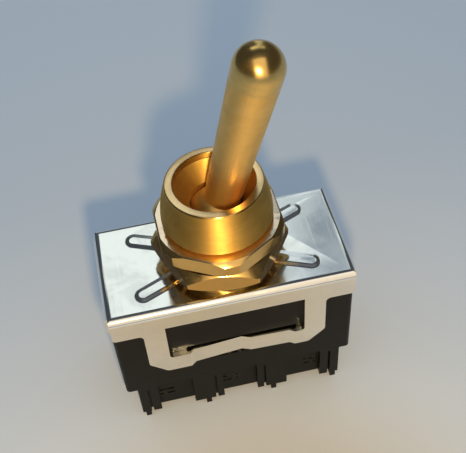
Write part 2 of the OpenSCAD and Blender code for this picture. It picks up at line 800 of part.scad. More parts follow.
// Square clamp plates that the screw heads press on the wires
module clamp_washers() {
    half_l = pocket_half_l - 0.3;
    color(steel) on_plate() for (x = TERMINAL_X) translate([x, 0, 0]) difference() {
        slab(half_l, half_l, -pocket_top - strip_t - washer_t, -pocket_top - strip_t, 0.5);
        translate([0, 0, -pocket_top - strip_t - washer_t - cut])
            cylinder(r = screw_d / 2 + 0.15, h = washer_t + 2 * cut);
    }
}

module terminal_screws() {
    head_top = -pocket_top - strip_t - washer_t;
    slot_w = 0.8;
    slot_depth = 0.7;
    color(steel) on_plate() for (x = TERMINAL_X) translate([x, 0, 0]) difference() {
        rotate_extrude() polygon([
            [0, head_top - screw_head_h], [screw_head_d / 2 - 0.7, head_top - screw_head_h],
            [screw_head_d / 2 - 0.15, head_top - screw_head_h + 0.5],
            [screw_head_d / 2, head_top - 0.3], [screw_head_d / 2, head_top],
            [screw_d / 2, head_top], [screw_d / 2, -chamber_drop - 1], [0, -chamber_drop - 1]]);
        rotate(x / terminal_pitch * 25 + 20) block(
            [-screw_head_d, -slot_w / 2, head_top - screw_head_h - cut],
            [screw_head_d, slot_w / 2, head_top - screw_head_h + slot_depth]);
    }
}

frame();
insulator();
housing();
bushing();
lower_nut();
upper_nut();
dress_nut();
lever();
lever_pin();
plunger();
plunger_spring();
contact_rocker();
left_rocker_contact();
right_rocker_contact();
common_terminal();
left_terminal();
right_terminal();
fulcrum();
fulcrum_rivet();
left_fixed_contact();
right_fixed_contact();
clamp_washers();
terminal_screws();
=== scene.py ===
"""Finishes a panel toggle switch: plated steel frame, moulded housing, brass bushing with its
nuts, and the bat lever that stands in it. Lengths are in metres, with Z up along the bushing."""

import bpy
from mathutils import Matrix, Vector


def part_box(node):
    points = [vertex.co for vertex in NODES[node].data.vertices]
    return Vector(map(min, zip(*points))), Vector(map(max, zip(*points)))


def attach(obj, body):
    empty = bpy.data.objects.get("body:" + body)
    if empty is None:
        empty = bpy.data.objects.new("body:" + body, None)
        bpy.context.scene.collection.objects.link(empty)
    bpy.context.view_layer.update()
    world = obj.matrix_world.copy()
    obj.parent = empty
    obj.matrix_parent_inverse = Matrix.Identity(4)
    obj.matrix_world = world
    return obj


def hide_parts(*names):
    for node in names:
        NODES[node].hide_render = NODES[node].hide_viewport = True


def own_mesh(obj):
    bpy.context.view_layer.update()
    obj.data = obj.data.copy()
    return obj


bl_info = {
    "name": "Bat-lever Toggle Switch",
    "version": (1, 0, 0),
    "blender": (4, 5, 0),
    "location": "View3D > Sidebar > Toggle Switch",
    "description": "Models and finishes a panel toggle switch with a bat lever",
    "category": "Add Mesh",
}

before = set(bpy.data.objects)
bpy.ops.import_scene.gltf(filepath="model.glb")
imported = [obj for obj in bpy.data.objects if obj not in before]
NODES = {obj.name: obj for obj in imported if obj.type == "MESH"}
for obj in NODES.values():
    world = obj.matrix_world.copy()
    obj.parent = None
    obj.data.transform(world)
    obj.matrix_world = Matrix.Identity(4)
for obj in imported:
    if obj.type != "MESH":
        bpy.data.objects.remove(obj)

import math

import bmesh
import bpy
from bpy.props import FloatProperty, FloatVectorProperty, PointerProperty
from mathutils import Matrix, Vector

DRESS_LOW, DRESS_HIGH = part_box("dress_nut")
LOWER_LOW, LOWER_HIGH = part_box("lower_nut")
UPPER_LOW, UPPER_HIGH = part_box("upper_nut")
FRAME_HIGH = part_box("frame")[1]

MM = 0.001
HAIR = 1e-7  # places closer than this count as the same
SKIN = 1e-6  # a cutting block stands this far outside what it only touches
WELD = 2e-6  # corners closer than this are joined
FLAT = math.radians(0.6)  # faces that meet at less than this make one flat


# ---- Sizes and colours that a user would change ----

def length(name, description, default):
    return FloatProperty(name=name, description=description, default=default, min=0.0, max=0.1,
                         unit="LENGTH", subtype="DISTANCE", precision=5)


def angle(name, description, degrees):
    return FloatProperty(name=name, description=description, default=math.radians(degrees),
                         subtype="ANGLE")


def colour(name, description, default):
    return FloatVectorProperty(name=name, description=description, default=default, size=3,
                               min=0.0, max=1.0, subtype="COLOR")


class SwitchSizes(bpy.types.PropertyGroup):
    """Sizes of the frame's details, the turned parts and the softened edges"""

    plate_level: length("Plate level", "Height of the top of the steel plate",
                        LOWER_LOW.z - 1.5 * MM)
    end_fold: length("End fold", "Radius of the folds at the ends of the plate", 1.1 * MM)
    bead_width: length("Bead width", "Width of a stiffening bead in the plate", 2.6 * MM)
    bead_height: length("Bead height", "Height of a bead above the plate", 0.18 * MM)
    bead_flank: length("Bead flank", "Width of the slope round a bead", 0.75 * MM)
    bead_start: length("Bead start", "From the axis to the round inner end's centre", 7.6 * MM)
    bead_reach: length("Bead reach", "From the axis to the outer end of a bead", 13.75 * MM)
    bead_angle: angle("Bead angle", "Angle between a bead and the long side of the plate", 23)

    thread_radius: length("Thread radius", "Outside radius of the bushing thread", 6.0 * MM)
    lower_nut_flats: length("Lower nut flats", "Width of the lower nut across its flats",
                            16.2 * MM)
    lower_nut_turn: angle("Lower nut turn", "Turn of the lower nut", -8)
    upper_nut_flats: length("Upper nut flats", "Width of the upper nut across its flats",
                            16.3 * MM)
    upper_nut_turn: angle("Upper nut turn", "Turn of the upper nut", 31)
    dress_foot_radius: length("Dress nut foot", "Radius of the dress nut at its foot", 7.35 * MM)
    dress_rim_radius: length("Dress nut rim", "Radius of the dress nut at its rim", 6.45 * MM)
    dress_mouth_radius: length("Dress nut mouth", "Radius of the hole in the rim", 5.28 * MM)

    pivot_level: length("Pivot level", "Height of the pin that the lever turns on",
                        LOWER_LOW.z + 5.9 * MM)
    lever_throw: angle("Lever throw", "Lean of the lever at rest", 15.6)
    spring_seat: length("Spring seat", "From the pin down to the seat of the spring", 4.6 * MM)
    spring_length: length("Spring length", "Length of the spring at rest", 4.75 * MM)
    plunger_travel: length("Plunger travel", "How far the plunger slides in", 1.0 * MM)

    steel_edge: length("Steel edge", "Softening of the sheared edges of the frame", 0.09 * MM)
    nut_corner: length("Nut corner", "Softening of the corners of the hexagon bar", 0.22 * MM)
    nut_edge: length("Nut edge", "Softening of the edges of the hexagon nuts", 0.12 * MM)
    moulded_edge: length("Moulded edge", "Softening of the edges of the housing", 0.12 * MM)
    screw_edge: length("Screw edge", "Softening of the screws and their washers", 0.06 * MM)


class SwitchColours(bpy.types.PropertyGroup):
    """Colours of the finishes"""

    steel: colour("Plated steel", "Bright plating of the frame", (0.92, 0.90, 0.85))
    gold_brass: colour("Gilt brass", "Bright brass of the bushing and the dress nut",
                       (0.78, 0.47, 0.11))
    # Paler colour given to the dress nut's faces that look up, as a painted highlight.
    rim_painted_highlight: colour("Rim painted highlight", "Cut rim of the dress nut", (0.94, 0.65, 0.33))
    nut_brass: colour("Nut brass", "Brass of the hexagon nuts", (0.74, 0.47, 0.16))
    # Paler colour given to the nuts' faces that look up, as a painted highlight.
    nut_top_painted_highlight: colour("Nut top painted highlight", "Upper faces of the hexagon nuts", (0.92, 0.72, 0.52))
    lever_brass: colour("Lever brass", "Brass of the lever", (0.83, 0.53, 0.17))
    strip_brass: colour("Strip brass", "Brass of the terminals", (0.78, 0.60, 0.30))
    moulding: colour("Moulding", "Thermosetting moulding of the housing", (0.0045, 0.004, 0.003))
    dust: colour("Dust", "Dust on the faces of the moulding that look up", (0.30, 0.27, 0.23))
    fibre: colour("Fibre", "Vulcanised fibre of the insulating sheet", (0.26, 0.13, 0.07))
    silver: colour("Silver alloy", "Contact buttons and plunger", (0.84, 0.83, 0.80))
    screw: colour("Screw steel", "Zinc-plated screws, washers and pin", (0.62, 0.62, 0.60))
    spring: colour("Spring wire", "Drawn wire of the plunger's spring", (0.55, 0.56, 0.58))


def sizes():
    """The sizes as the scene holds them"""
    return bpy.context.scene.switch_sizes


def colours():
    """The colours as the scene holds them"""
    return bpy.context.scene.switch_colours


# ---- Modelling helpers ----

def pick(obj):
    """Leaves obj alone selected and active"""
    if bpy.context.object is not None and bpy.context.object.mode != "OBJECT":
        bpy.ops.object.mode_set(mode="OBJECT")
    bpy.ops.object.select_all(action="DESELECT")
    if obj is not None:
        obj.select_set(True)
        bpy.context.view_layer.objects.active = obj
    return obj


def editing(obj, mode="FACE"):
    """Opens obj in edit mode and gives its editable mesh"""
    pick(obj)
    bpy.ops.object.mode_set(mode="EDIT")
    bpy.ops.mesh.select_mode(type=mode)
    return bmesh.from_edit_mesh(obj.data)


def object_mode():
    bpy.ops.object.mode_set(mode="OBJECT")


def settle(obj):
    """Applies the object's place, turn and size to its mesh"""
    pick(obj)
    bpy.ops.object.transform_apply(location=True, rotation=True, scale=True)
    return obj


def modify(obj, kind, **values):
    """Adds a modifier with its values and applies it"""
    pick(obj)
    modifier = obj.modifiers.new(kind.title().replace("_", " "), kind)
    for key, value in values.items():
        setattr(modifier, key, value)
    bpy.ops.object.modifier_apply(modifier=modifier.name)
    return obj


def soften(obj, width, segments=2, sharper_than=32.0):
    """Rounds the edges that bend by more than an angle in degrees"""
    return modify(obj, "BEVEL", width=width, segments=segments, limit_method="ANGLE",
                  angle_limit=math.radians(sharper_than), use_clamp_overlap=True,
                  miter_outer="MITER_ARC")


def smooth(obj, sharper_than=38.0):
    """Shades obj smooth, apart from edges that bend by more than an angle in degrees"""
    pick(obj)
    bpy.ops.object.shade_smooth_by_angle(angle=math.radians(sharper_than))
    return modify(obj, "WEIGHTED_NORMAL", mode="FACE_AREA", weight=100, keep_sharp=True)


def weld(obj, merge_flats=True):
    """Joins the corners that lie on each other, and then, if asked, the triangles of each
    flat"""
    editing(obj, "VERT")
    bpy.ops.mesh.select_all(action="SELECT")
    bpy.ops.mesh.remove_doubles(threshold=WELD)
    if merge_flats:
        bpy.ops.mesh.dissolve_limited(angle_limit=FLAT)
    object_mode()
    return obj


def merged_copy(node, name):
    """Copy of a construction node with its triangles joined and its flats made whole"""
    obj = bpy.data.objects.new(name, NODES[node].data.copy())
    bpy.context.scene.collection.objects.link(obj)
    pick(obj)
    if obj.data.has_custom_normals:
        bpy.ops.mesh.customdata_custom_splitnormals_clear()
    obj.data.materials.clear()
    return weld(obj)


def turned_ring(name, outline, low):
    """Turns a closed ring from an outline of (radius, height) in millimetres above low, by
    extruding and resizing circles"""
    points = [(radius * MM, low + height * MM) for radius, height in outline]
    radius, level = points[0]
    pick(None)
    bpy.ops.mesh.primitive_circle_add(vertices=128, radius=radius, location=(0, 0, level))
    obj = bpy.context.object
    obj.name = name
    settle(obj)
    editing(obj, "EDGE")
    bpy.ops.mesh.select_all(action="SELECT")
    for new_radius, new_level in points[1:] + points[:1]:
        bpy.ops.mesh.extrude_region_move(
            TRANSFORM_OT_translate={"value": (0, 0, new_level - level)})
        if new_radius != radius:
            grow = new_radius / radius
            bpy.ops.transform.resize(value=(grow, grow, 1), center_override=(0, 0, new_level))
        radius, level = new_radius, new_level
    bpy.ops.mesh.select_all(action="SELECT")
    bpy.ops.mesh.remove_doubles(threshold=HAIR)
    bpy.ops.mesh.normals_make_consistent(inside=False)
    object_mode()
    return obj


def finish_piece(obj, body, material, slot, *stands_for):
    """Gives a new piece its finish, the body that it rides on and the nodes that it stands for"""
    obj.data.materials.clear()
    obj.data.materials.append(material)
    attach(obj, body)
    if stands_for:
        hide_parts(*stands_for)
    return obj


def repaint(node, material):
    """Gives a construction node that is shown as it is its finish"""
    data = NODES[node].data
    data.materials.clear()
    data.materials.append(material)
    for polygon in data.polygons:
        polygon.material_index = 0


# ---- Shader effects ----

def new_group(name, inputs, outputs):
    """Empty shader group with its sockets, and the nodes of its two ends"""
    group = bpy.data.node_groups.new(name, "ShaderNodeTree")
    for label, kind, default in inputs:
        socket = group.interface.new_socket(name=label, in_out="INPUT", socket_type=kind)
        if default is not None:
            socket.default_value = default
    for label, kind in outputs:
        group.interface.new_socket(name=label, in_out="OUTPUT", socket_type=kind)
    return group, group.nodes.new("NodeGroupInput"), group.nodes.new("NodeGroupOutput")


def add(tree, kind, **values):
    """New node, with in_ values set on its inputs and the rest on the node"""
    node = tree.nodes.new(kind)
    for key, value in values.items():
        if key.startswith("in_"):
            node.inputs[key[3:].replace("_", " ")].default_value = value
        else:
            setattr(node, key, value)
    return node


def calc(tree, operation, a, b=None):
    """Result of a Math node on sockets or numbers"""
    node = tree.nodes.new("ShaderNodeMath")
    node.operation = operation
    for index, value in enumerate((a, b)):
        if value is None:
            continue
        if isinstance(value, (int, float)):
            node.inputs[index].default_value = value
        else:
            tree.links.new(value, node.inputs[index])
    return node.outputs[0]


def map_range(tree, value, low, high, interpolation="SMOOTHSTEP"):
    """Maps value to 0 at low and to 1 at high"""
    node = tree.nodes.new("ShaderNodeMapRange")
    node.interpolation_type = interpolation
    tree.links.new(value, node.inputs["Value"])
    node.inputs["From Min"].default_value = low
    node.inputs["From Max"].default_value = high
    return node.outputs[0]


def stops(tree, factor, *colours_at):
    """Colour ramp through the given (place, colour) stops"""
    node = tree.nodes.new("ShaderNodeValToRGB")
    elements = node.color_ramp.elements
    for index, (at, value) in enumerate(colours_at):
        element = elements[index] if index < 2 else elements.new(at)
        element.position = at
        element.color = (*value, 1.0)
    tree.links.new(factor, node.inputs["Fac"])
    return node.outputs[0]


def noise(tree, vector, scale, detail=3.0, roughness=0.55, distortion=0.0):
    """Value of a Noise Texture, whose scale is a number or a socket"""
    node = add(tree, "ShaderNodeTexNoise", in_Detail=detail, in_Roughness=roughness,
               in_Distortion=distortion)
    if isinstance(scale, (int, float)):
        node.inputs["Scale"].default_value = scale
    else:
        tree.links.new(scale, node.inputs["Scale"])
    tree.links.new(vector, node.inputs["Vector"])
    return node.outputs["Fac"]


def turning_group():
    """Fine rings that a lathe tool leaves round the Z axis of the given vector"""
    if "Turning Marks" in bpy.data.node_groups:
        return bpy.data.node_groups["Turning Marks"]
    group, start, end = new_group(
        "Turning Marks",
        [("Vector", "NodeSocketVector", None), ("Rings per Metre", "NodeSocketFloat", 6000.0)],
        [("Height", "NodeSocketFloat"), ("Tone", "NodeSocketFloat")])
    parts = add(group, "ShaderNodeSeparateXYZ")
    group.links.new(start.outputs["Vector"], parts.inputs[0])
    x, y, z = parts.outputs
    radius = calc(group, "SQRT", calc(group, "ADD", calc(group, "MULTIPLY", x, x),
                                      calc(group, "MULTIPLY", y, y)))
    rings = add(group, "ShaderNodeCombineXYZ")
    group.links.new(radius, rings.inputs[0])
    group.links.new(calc(group, "MULTIPLY", x, 0.02), rings.inputs[1])
    group.links.new(z, rings.inputs[2])
    fine = noise(group, rings.outputs[0], start.outputs["Rings per Metre"], 4.0, 0.6)
    group.links.new(fine, end.inputs["Height"])
    broad = noise(group, rings.outputs[0], 1400.0, 2.0, 0.5)
    group.links.new(map_range(group, broad, 0.35, 0.65), end.inputs["Tone"])
    return group


def handling_group():
    """Sparse hairlines in two directions, and soft handling marks"""
    if "Handling Marks" in bpy.data.node_groups:
        return bpy.data.node_groups["Handling Marks"]
    group, start, end = new_group(
        "Handling Marks",
        [("Vector", "NodeSocketVector", None), ("Hairlines", "NodeSocketFloat", 2500.0),
         ("Smudge Scale", "NodeSocketFloat", 220.0)],
        [("Hairline", "NodeSocketFloat"), ("Smudge", "NodeSocketFloat"),
         ("Mottle", "NodeSocketFloat")])
    lines = []
    for turn in (0.35, -0.6):
        mapping = add(group, "ShaderNodeMapping", in_Rotation=(0, 0, turn),
                      in_Scale=(1.0, 0.03, 1.0))
        group.links.new(start.outputs["Vector"], mapping.inputs["Vector"])
        grain = noise(group, mapping.outputs[0], start.outputs["Hairlines"], 2.0, 0.5)
        lines.append(map_range(group, grain, 0.62, 0.72))
    group.links.new(calc(group, "MAXIMUM", *lines), end.inputs["Hairline"])
    smudge = noise(group, start.outputs["Vector"], start.outputs["Smudge Scale"], 4.0, 0.6, 0.4)
    group.links.new(map_range(group, smudge, 0.40, 0.66), end.inputs["Smudge"])
    mottle = noise(group, start.outputs["Vector"],
                   calc(group, "MULTIPLY", start.outputs["Smudge Scale"], 3.1), 2.0, 0.5, 0.6)
    group.links.new(mottle, end.inputs["Mottle"])
    return group


def moulding_group():
    """Fine grain of a mould, flow marks, and pale dust on what faces up"""
    if "Moulded Grain" in bpy.data.node_groups:
        return bpy.data.node_groups["Moulded Grain"]
    group, start, end = new_group(
        "Moulded Grain",
        [("Vector", "NodeSocketVector", None), ("Normal", "NodeSocketVector", None)],
        [("Height", "NodeSocketFloat"), ("Flow", "NodeSocketFloat"), ("Dust", "NodeSocketFloat")])
    group.links.new(noise(group, start.outputs["Vector"], 9000.0, 3.0, 0.6), end.inputs["Height"])
    flow = noise(group, start.outputs["Vector"], 260.0, 3.0, 0.5, 1.2)
    group.links.new(map_range(group, flow, 0.36, 0.66), end.inputs["Flow"])
    facing = add(group, "ShaderNodeSeparateXYZ")
    group.links.new(start.outputs["Normal"], facing.inputs[0])
    up = map_range(group, facing.outputs[2], 0.2, 0.9)
    specks = map_range(group, noise(group, start.outputs["Vector"], 1700.0, 5.0, 0.7), 0.5, 0.62)
    group.links.new(calc(group, "MULTIPLY", up, specks), end.inputs["Dust"])
    return group


def new_material(name):
    """New material, its tree and shader, and the socket of its Object coordinates"""
    material = bpy.data.materials.new(name)
    material.use_nodes = True
    tree = material.node_tree
    shader = tree.nodes["Principled BSDF"]
    place = add(tree, "ShaderNodeTexCoord")
    return material, tree, shader, place.outputs["Object"]


def looking_up(tree, low, high):
    """Mask of the faces whose normals have a Z between low and high, or more"""
    surface = add(tree, "ShaderNodeNewGeometry")
    facing = add(tree, "ShaderNodeSeparateXYZ")
    tree.links.new(surface.outputs["Normal"], facing.inputs[0])
    return map_range(tree, facing.outputs[2], low, high)


def use_group(tree, group, vector, **values):
    """Places a group on vector, with values on its other inputs"""
    node = tree.nodes.new("ShaderNodeGroup")
    node.node_tree = group
    tree.links.new(vector, node.inputs["Vector"])
    for key, value in values.items():
        node.inputs[key.replace("_", " ")].default_value = value
    return node


def blend_colours(tree, factor, low, high):
    """Mix of two colours, each a socket or a value"""
    node = tree.nodes.new("ShaderNodeMix")
    node.data_type = "RGBA"
    tree.links.new(factor, node.inputs["Factor"])
    for socket, value in ((node.inputs[6], low), (node.inputs[7], high)):
        if isinstance(value, tuple):
            socket.default_value = (*value, 1.0)
        else:
            tree.links.new(value, socket)
    return node.outputs[2]


def shaded(value, factor):
    """The colour value made darker or brighter"""
    return tuple(min(1.0, c * factor) for c in value)


def bump(tree, shader, height, distance, strength=1.0, before=None):
    """Bump on the shader's normal, over the bump before it"""
    node = add(tree, "ShaderNodeBump", in_Strength=strength, in_Distance=distance)
    tree.links.new(height, node.inputs["Height"])
    if before is not None:
        tree.links.new(before, node.inputs["Normal"])
    tree.links.new(node.outputs[0], shader.inputs["Normal"])
    return node.outputs[0]


def turned_metal(name, base, level, roughness, face_roughness, tilt=0.0, stretch=0.9,
                 painted_top_highlight=None, above=None, foot=None):
    """Turned metal whose rings run round an axis through (0, 0, level), leaning by tilt. Faces
    that look up have a roughness of their own, and can be given a paler colour as a painted
    highlight. Over the height above[0] on that axis the roughness changes by above[1], and under
    the height foot the colour is darkened as painted shade."""
    material, tree, shader, place = new_material(name)
    base = tuple(base)
    onto_axis = add(tree, "ShaderNodeMapping", vector_type="TEXTURE",
                    in_Location=(0, 0, level), in_Rotation=(0, tilt, 0))
    tree.links.new(place, onto_axis.inputs["Vector"])
    along = add(tree, "ShaderNodeSeparateXYZ")
    tree.links.new(onto_axis.outputs[0], along.inputs[0])
    marks = use_group(tree, turning_group(), onto_axis.outputs[0], Rings_per_Metre=6000.0)
    handled = use_group(tree, handling_group(), onto_axis.outputs[0], Hairlines=3200.0,
                        Smudge_Scale=330.0)

    tone = blend_colours(tree, marks.outputs["Tone"], base, shaded(base, 0.93))
    tone = blend_colours(tree, handled.outputs["Smudge"], tone, shaded(base, 0.86))
    # Painted highlight: faces that look up get a paler colour.
    if painted_top_highlight:
        tone = blend_colours(tree, looking_up(tree, 0.8, 0.95), tone, tuple(painted_top_highlight))
    # Painted shade: below the height foot the colour is darkened to three tenths.
    if foot:
        painted_shade_below = map_range(tree, along.outputs[2], foot, foot - 0.1 * MM)
        tone = blend_colours(tree, painted_shade_below, tone, shaded(base, 0.3))
    tree.links.new(tone, shader.inputs["Base Color"])

    rough = calc(tree, "ADD", calc(tree, "MULTIPLY", handled.outputs["Smudge"], 0.06), roughness)
    rough = calc(tree, "ADD", rough, calc(tree, "MULTIPLY", marks.outputs["Height"], 0.06))
    if above:
        high = map_range(tree, along.outputs[2], above[0], above[0] + 0.8 * MM)
        rough = calc(tree, "ADD", rough, calc(tree, "MULTIPLY", high, above[1]))
    faced = looking_up(tree, 0.32, 0.5)
    rough = calc(tree, "ADD", rough, calc(tree, "MULTIPLY", faced, face_roughness - roughness))
    tree.links.new(rough, shader.inputs["Roughness"])

    shader.inputs["Metallic"].default_value = 1.0
    shader.inputs["Anisotropic"].default_value = stretch
    shader.inputs["Anisotropic Rotation"].default_value = 0.25
    grooves = add(tree, "ShaderNodeTangent", direction_type="RADIAL", axis="Z")
    tree.links.new(grooves.outputs[0], shader.inputs["Tangent"])
    rings = bump(tree, shader, marks.outputs["Height"], 2e-6)
    bump(tree, shader, handled.outputs["Mottle"], 3e-6, 0.5, rings)
    return material


def sheet_metal(name, base, roughness=0.1, spread=0.08, wave=3e-6, painted_top_highlight=None):
    """Sheet metal with a slightly wavy bright surface, hairlines and handling marks. Faces that
    look up can be given a paler colour as a painted highlight."""
    material, tree, shader, place = new_material(name)
    base = tuple(base)
    handled = use_group(tree, handling_group(), place, Hairlines=2600.0, Smudge_Scale=240.0)

    tone = blend_colours(tree, handled.outputs["Smudge"], base, shaded(base, 0.94))
    # Painted highlight: faces that look up get a paler colour.
    if painted_top_highlight:
        tone = blend_colours(tree, looking_up(tree, 0.8, 0.95), tone, tuple(painted_top_highlight))
    tree.links.new(tone, shader.inputs["Base Color"])

    rough = calc(tree, "ADD", calc(tree, "MULTIPLY", handled.outputs["Smudge"], spread), roughness)
    rough = calc(tree, "ADD", rough, calc(tree, "MULTIPLY", handled.outputs["Hairline"], 0.032))
    tree.links.new(rough, shader.inputs["Roughness"])

    shader.inputs["Metallic"].default_value = 1.0
    waves = bump(tree, shader, handled.outputs["Mottle"], wave)
    bump(tree, shader, handled.outputs["Hairline"], 1.2e-6, 0.4, waves)
    return material


def moulding(name, base, dust):
    """Dull moulding with flow marks, mould grain and a little dust"""
    material, tree, shader, place = new_material(name)
    base = tuple(base)
    surface = add(tree, "ShaderNodeNewGeometry")
    grain = use_group(tree, moulding_group(), place)
    tree.links.new(surface.outputs["Normal"], grain.inputs["Normal"])
    tone = blend_colours(tree, grain.outputs["Flow"], base, shaded(base, 1.6))
    tone = blend_colours(tree, calc(tree, "MULTIPLY", grain.outputs["Dust"], 0.25), tone,
                         tuple(dust))
    tree.links.new(tone, shader.inputs["Base Color"])
    rough = calc(tree, "ADD", calc(tree, "MULTIPLY", grain.outputs["Flow"], 0.14), 0.34)
    tree.links.new(rough, shader.inputs["Roughness"])
    shader.inputs["Specular IOR Level"].default_value = 0.16
    bump(tree, shader, grain.outputs["Height"], 4e-6, 0.6)
    return material


def fibre_board(name, base):
    """Fibre board, whose layers run across its thickness"""
    material, tree, shader, place = new_material(name)
    base = tuple(base)
    layers = add(tree, "ShaderNodeMapping", in_Scale=(1, 1, 8))
    tree.links.new(place, layers.inputs["Vector"])
    grain = noise(tree, layers.outputs[0], 1500.0, 4.0, 0.6)
    tree.links.new(blend_colours(tree, map_range(tree, grain, 0.35, 0.7), base, shaded(base, 1.5)),
                   shader.inputs["Base Color"])
    shader.inputs["Roughness"].default_value = 0.65
    bump(tree, shader, grain, 1.2e-5, 0.7)
    return material


_made = {}


def finish(name):
    """The finish of that name, made when it is first asked for"""
    if name not in _made:
        c, s = colours(), sizes()
        makers = {
            "Plated steel": lambda: sheet_metal(name, c.steel),
            # The dress nut's faces that look up get a painted highlight in the rim colour.
            "Gilt brass": lambda: turned_metal(
                name, c.gold_brass, s.plate_level, 0.52, 0.16, painted_top_highlight=c.rim_painted_highlight),
            # The bushing's foot setting paints shade on its shoulder under the lower nut.
            "Bushing brass": lambda: turned_metal(
                name, c.gold_brass, s.plate_level, 0.12, 0.10, stretch=0.2,
                above=(6.5 * MM, 0.32), foot=1.6 * MM),
            "Lever brass": lambda: turned_metal(
                name, c.lever_brass, s.pivot_level, 0.40, 0.40, s.lever_throw, stretch=0.3,
                above=(21.2 * MM, -0.22)),
            # The nuts' faces that look up get a painted highlight in the nut top colour.
            "Nut brass": lambda: sheet_metal(name, c.nut_brass, 0.13, 0.12, 5e-6, c.nut_top_painted_highlight),
            "Strip brass": lambda: sheet_metal(name, c.strip_brass, 0.28, 0.2, 5e-6),
            "Moulding": lambda: moulding(name, c.moulding, c.dust),
            "Fibre": lambda: fibre_board(name, c.fibre),
            "Silver alloy": lambda: sheet_metal(name, c.silver, 0.3, 0.15, 4e-6),
            "Spring wire": lambda: sheet_metal(name, c.spring, 0.25, 0.1, 2e-6),
            "Screw steel": lambda: sheet_metal(name, c.screw, 0.26, 0.2, 5e-6),
        }
        _made[name] = makers[name]()
    return _made[name]


# ---- Pieces ----

def round_the_ends(obj):
    """Rounds the folds at the ends of the plate over their whole width"""
    s = sizes()
    reach, top = FRAME_HIGH.x + SKIN, s.plate_level + SKIN
    deep, wide = 0.04, 0.05  # well past the frame's foot and sides
    pick(None)
    bpy.ops.mesh.primitive_cube_add(size=1.0, location=(0, 0, top - deep / 2),
                                    scale=(2 * reach, wide, deep))
    block = settle(bpy.context.object)
    mesh = editing(block, "EDGE")
    for edge in mesh.edges:
        one, other = (vert.co for vert in edge.verts)
        across = abs(one.y - other.y) > wide / 2
        edge.select = across and min(one.z, other.z) > top - deep / 2
    bmesh.update_edit_mesh(block.data)
    bpy.ops.mesh.bevel(offset=s.end_fold, segments=14)
    object_mode()
    modify(obj, "BOOLEAN", operation="INTERSECT", solver="EXACT", object=block)
    bpy.data.objects.remove(block)
    return weld(obj)


def bead(start_angle):
    """Low bead with round ends and a flat crown, embossed in the plate from the bushing out to
    one corner"""
    s = sizes()
    radius = s.bead_width / 2
    near, far = s.bead_start, s.bead_reach - radius
    pick(None)
    bpy.ops.mesh.primitive_circle_add(vertices=48, radius=radius, fill_type="NGON",
                                      location=(near, 0, s.plate_level + 0.004 * MM))
    obj = bpy.context.object
    settle(obj)
    mesh = editing(obj, "VERT")
    for vert in mesh.verts:
        vert.select = vert.co.x > near + HAIR
    bmesh.update_edit_mesh(obj.data)
    bpy.ops.transform.translate(value=(far - near, 0, 0))
    editing(obj)
    bpy.ops.mesh.select_all(action="SELECT")
    steps = 9
    heights = [s.bead_height * (1 - math.cos(math.pi * step / steps)) / 2
               for step in range(steps + 1)]
    for lower, upper in zip(heights, heights[1:]):
        bpy.ops.mesh.inset(thickness=s.bead_flank / steps, depth=upper - lower,
                           use_even_offset=True)
    object_mode()
    obj.rotation_euler = (0, 0, start_angle)
    return settle(obj)


class SWITCH_OT_plated_frame(bpy.types.Operator):
    """Plated steel frame with its straps and beads, the sheared edges softened"""
    bl_idname = "switch.plated_frame"
    bl_label = "Plated frame"

    def execute(self, context):
        s = sizes()
        obj = merged_copy("frame", "plated_frame")
        # The solid's beads are pressed flat, because finer ones take their place.
        mesh = editing(obj, "VERT")
        for vert in mesh.verts:
            vert.select = vert.co.z > s.plate_level + HAIR
        bmesh.update_edit_mesh(obj.data)
        bpy.ops.transform.resize(value=(1, 1, 0), center_override=(0, 0, s.plate_level))
        object_mode()
        round_the_ends(obj)
        soften(obj, s.steel_edge)
        smooth(obj)

        lean = s.bead_angle
        beads = [bead(turn) for turn in (lean - math.pi, math.pi - lean, -lean, lean)]
        pick(beads[0])
        for other in beads[1:]:
            other.select_set(True)
        bpy.ops.object.join()
        beads[0].name = "plate_beads"
        bpy.ops.object.shade_smooth()
        finish_piece(beads[0], "body", finish("Plated steel"), "plated_steel")
        finish_piece(obj, "body", finish("Plated steel"), "plated_steel", "frame")
        repaint("insulator", finish("Fibre"))
        return {"FINISHED"}


class SWITCH_OT_moulded_housing(bpy.types.Operator):
    """Moulded housing with its bays, posts and fins"""
    bl_idname = "switch.moulded_housing"
    bl_label = "Moulded housing"

    def execute(self, context):
        obj = merged_copy("housing", "moulded_housing")
        soften(obj, sizes().moulded_edge)
        smooth(obj)
        finish_piece(obj, "body", finish("Moulding"), "moulded_black", "housing")
        return {"FINISHED"}


class SWITCH_OT_threaded_bushing(bpy.types.Operator):
    """Threaded bushing with the funnel that the lever stands in"""
    bl_idname = "switch.threaded_bushing"
    bl_label = "Threaded bushing"

    def execute(self, context):
        obj = merged_copy("bushing", "threaded_bushing")
        smooth(obj, 30.0)
        finish_piece(obj, "body", finish("Bushing brass"), "gold_brass", "bushing")
        return {"FINISHED"}


def hexagon_nut(name, low, high, flats, turn, bore, face, reach, foot_slope, top_slope):
    """Nut between the heights low and high, whose corners are turned down over foot_slope and
    top_slope, which leaves arched flats. bore, face and reach are the radii of its hole, of its
    faces and of its corners; these and the slopes are in millimetres."""
    pick(None)
    bpy.ops.mesh.primitive_cylinder_add(
        vertices=6, radius=flats / 2 / math.cos(math.radians(30)), depth=high - low,
        location=(0, 0, (low + high) / 2), rotation=(0, 0, turn - math.radians(30)))
    nut = bpy.context.object
    nut.name = name
    settle(nut)
    soften(nut, sizes().nut_corner, 3, 50.0)
    height = (high - low) / MM
    blank = turned_ring(name + "_blank", (
        (bore, 0), (face, 0), (reach, foot_slope), (reach, height - top_slope), (face, height),
        (bore, height)), low)
    modify(nut, "BOOLEAN", operation="INTERSECT", solver="EXACT", object=blank)
    bpy.data.objects.remove(blank)
    weld(nut, merge_flats=False)
    soften(nut, sizes().nut_edge, 3, 24.0)
    return smooth(nut)


def clear_bore():
    """Radius in millimetres of a hole that goes over the bushing's thread"""
    return sizes().thread_radius / MM + 0.05


